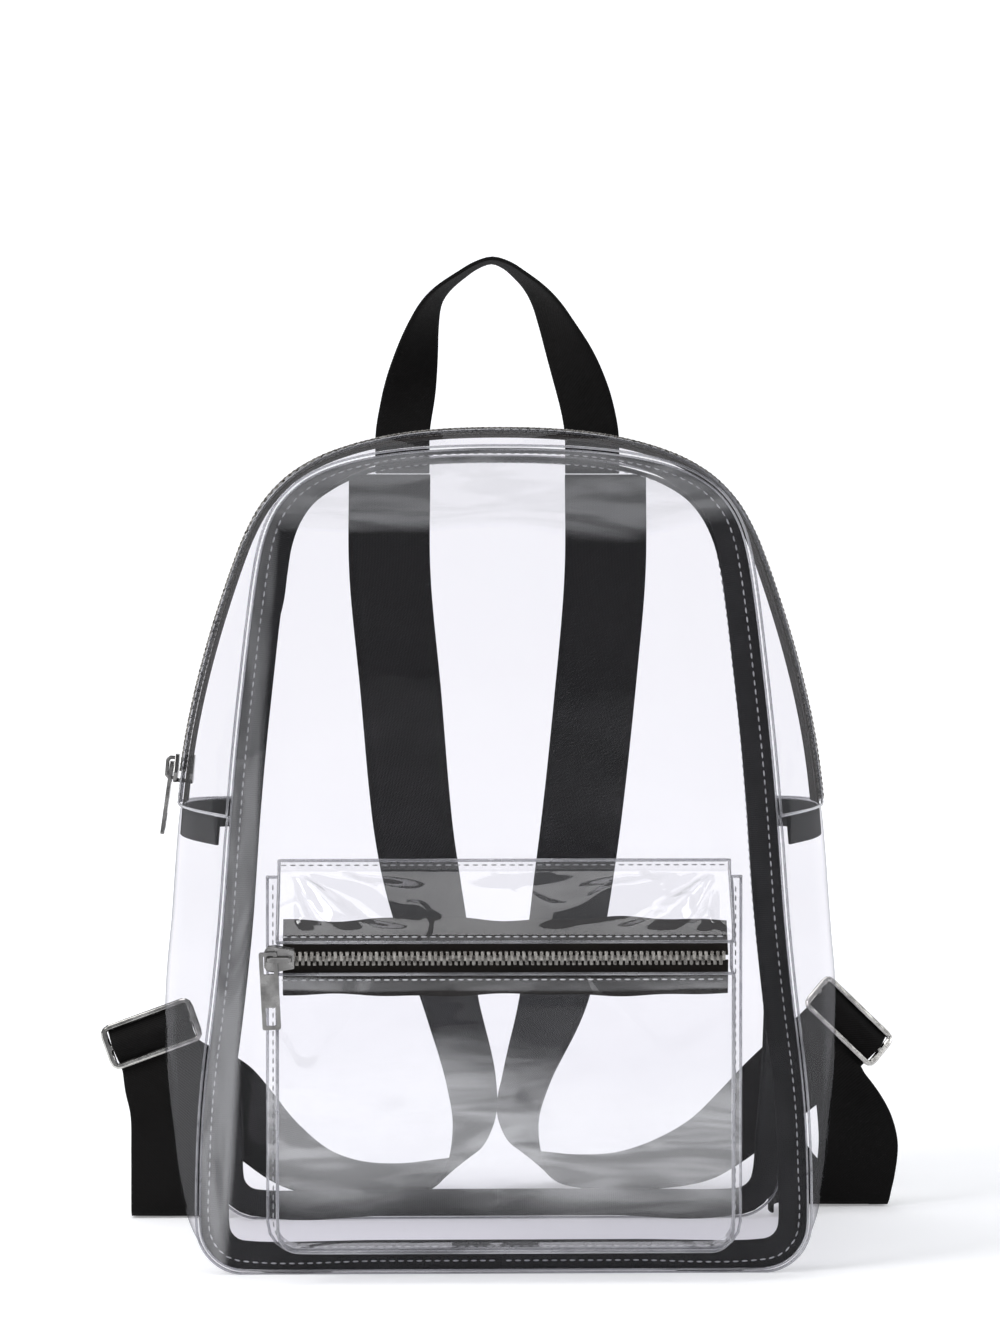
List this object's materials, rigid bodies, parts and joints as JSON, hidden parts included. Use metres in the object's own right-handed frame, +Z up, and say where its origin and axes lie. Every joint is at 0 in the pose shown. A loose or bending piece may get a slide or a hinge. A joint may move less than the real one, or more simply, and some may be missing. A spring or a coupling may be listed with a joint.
{
  "type": "backpack",
  "caption": "Clear soft backpack with black webbing shoulder straps, a carry loop, an arched zip over the top and a zipped front pocket.",
  "frame": {"origin": "the middle of the underside of the base, on the surface that the bag stands on", "axes": "+Z up, -Y out of the front with the pocket, +Y out of the back with the straps"},
  "size_m": [0.2984, 0.2202, 0.3541],
  "materials": {
    "clear_sheet": "clear soft PVC sheet, glossy and lightly wrinkled",
    "webbing": "black woven webbing",
    "binding": "black folded binding tape",
    "zip_tape": "black woven zip tape",
    "metal": "silver plated, satin"
  },
  "bodies": {
    "bag": {"front_panel": "clear_sheet", "back_panel": "clear_sheet", "lower_gusset": "clear_sheet", "zip_strip_front": "clear_sheet", "zip_strip_back": "clear_sheet", "pocket_front": "clear_sheet", "pocket_wall": "clear_sheet", "pocket_top": "clear_sheet", "binding_front": "binding", "binding_back": "binding", "binding_cross_left": "binding", "binding_cross_right": "binding", "main_zip_tape_front": "zip_tape", "main_zip_tape_back": "zip_tape", "pocket_tape_lower": "zip_tape", "pocket_tape_upper": "zip_tape", "handle": "webbing", "strap_left": "webbing", "strap_right": "webbing", "strap_lower_left": "webbing", "strap_lower_right": "webbing", "main_zip_teeth": "metal", "pocket_zip_teeth": "metal", "main_slider": "metal", "pocket_slider": "metal", "buckle_left": "metal", "buckle_right": "metal"},
    "main_pull": {"main_pull": "metal"},
    "pocket_pull": {"pocket_pull": "metal"}
  },
  "joints": [
    {"name": "main_pull_swing", "type": "hinge", "parent": "bag", "child": "main_pull", "pos_m": [-0.11624, 0, 0.17162], "axis": [0, 1, 0], "range_deg": [-2, 165]},
    {"name": "pocket_pull_swing", "type": "hinge", "parent": "bag", "child": "pocket_pull", "pos_m": [-0.0793, -0.0791, 0.1098], "axis": [0, 1, 0], "range_deg": [-45, 220]}
  ]
}
